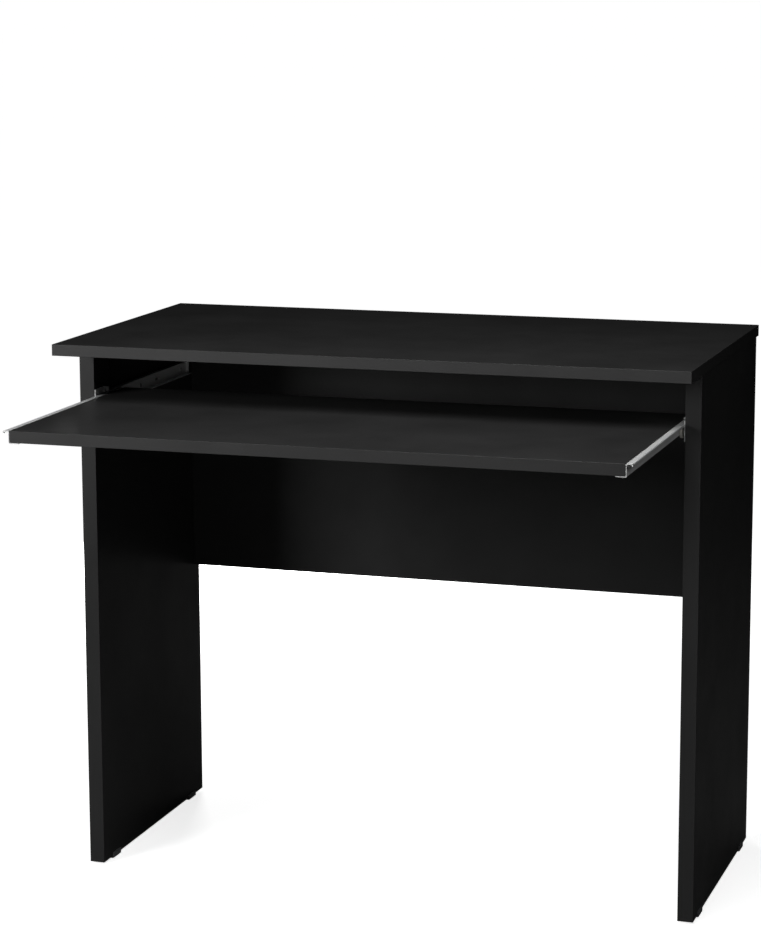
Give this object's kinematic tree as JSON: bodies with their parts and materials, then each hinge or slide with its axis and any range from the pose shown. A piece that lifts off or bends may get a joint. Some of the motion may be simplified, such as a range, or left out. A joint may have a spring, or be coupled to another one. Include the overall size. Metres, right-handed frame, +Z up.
{
  "type": "computer desk with keyboard tray",
  "caption": "Flat-panel computer desk: a tabletop on full-height side panels, a modesty panel behind, and a keyboard tray that pulls out on roller slides.",
  "frame": {"origin": "on the floor, at the middle of the whole desk's outline with the keyboard tray pulled out as stored", "axes": "+X to the sitter's right, +Y towards the desk's back, +Z up; the sitter faces +Y"},
  "size_m": [0.9, 0.7, 0.777],
  "materials": {
    "black_melamine_board": "satin black melamine facing on chipboard",
    "black_edge_strip": "satin black ABS edging strip",
    "zinc_plated_rail": "bright zinc plate on rolled sheet",
    "rivet_steel": "plain turned steel",
    "screw_steel": "zinc plated",
    "white_nylon": "natural moulded nylon",
    "glide_plastic": "moulded polypropylene, semi-gloss",
    "cam_zinc": "die-cast zinc alloy",
    "cap_plastic": "moulded plastic",
    "beech_dowel": "fluted beech, unfinished"
  },
  "bodies": {
    "desk": {"tabletop": "black_melamine_board", "tabletop_edge_front": "black_edge_strip", "tabletop_edge_rear": "black_edge_strip", "tabletop_edge_left": "black_edge_strip", "tabletop_edge_right": "black_edge_strip", "side_panel_left": "black_melamine_board", "side_panel_right": "black_melamine_board", "side_edge_front_left": "black_edge_strip", "side_edge_rear_left": "black_edge_strip", "side_edge_front_right": "black_edge_strip", "side_edge_rear_right": "black_edge_strip", "modesty_panel": "black_melamine_board", "modesty_edge_bottom": "black_edge_strip", "cabinet_rail_left": "zinc_plated_rail", "cabinet_rail_right": "zinc_plated_rail", "cabinet_rail_screws": "screw_steel", "front_roller_pin_left": "rivet_steel", "front_roller_pin_right": "rivet_steel", "glide_front_left": "glide_plastic", "glide_front_right": "glide_plastic", "glide_rear_left": "glide_plastic", "glide_rear_right": "glide_plastic", "glide_nails": "screw_steel", "cam_locks": "cam_zinc", "cam_bolts": "cam_zinc", "cam_caps": "cap_plastic", "dowels": "beech_dowel"},
    "tray": {"keyboard_tray": "black_melamine_board", "tray_edge_front": "black_edge_strip", "tray_edge_rear": "black_edge_strip", "tray_rail_left": "zinc_plated_rail", "tray_rail_right": "zinc_plated_rail", "tray_rail_screws": "screw_steel", "rear_roller_pin_left": "rivet_steel", "rear_roller_pin_right": "rivet_steel"},
    "front_roller_left": {"front_roller_left": "white_nylon"},
    "front_roller_right": {"front_roller_right": "white_nylon"},
    "rear_roller_left": {"rear_roller_left": "white_nylon"},
    "rear_roller_right": {"rear_roller_right": "white_nylon"}
  },
  "joints": [
    {"name": "tray_slide", "type": "slide", "parent": "desk", "child": "tray", "axis": [0, -1, 0], "range_m": [-0.264, 0.043]},
    {"name": "front_roller_left_spin", "type": "hinge", "parent": "desk", "child": "front_roller_left", "pos_m": [-0.419, -0.03, 0.6819], "axis": [1, 0, 0], "range_deg": [-1800, 1800]},
    {"name": "front_roller_right_spin", "type": "hinge", "parent": "desk", "child": "front_roller_right", "pos_m": [0.419, -0.03, 0.6819], "axis": [1, 0, 0], "range_deg": [-1800, 1800]},
    {"name": "rear_roller_left_spin", "type": "hinge", "parent": "tray", "child": "rear_roller_left", "pos_m": [-0.419, 0.032, 0.6856], "axis": [1, 0, 0], "range_deg": [-1800, 1800]},
    {"name": "rear_roller_right_spin", "type": "hinge", "parent": "tray", "child": "rear_roller_right", "pos_m": [0.419, 0.032, 0.6856], "axis": [1, 0, 0], "range_deg": [-1800, 1800]}
  ],
  "couplings": [
    {"joint": "front_roller_left_spin", "follows": "tray_slide", "rad_per_m": 102.04},
    {"joint": "front_roller_right_spin", "follows": "tray_slide", "rad_per_m": 102.04},
    {"joint": "rear_roller_left_spin", "follows": "tray_slide", "rad_per_m": -107.53},
    {"joint": "rear_roller_right_spin", "follows": "tray_slide", "rad_per_m": -107.53}
  ]
}
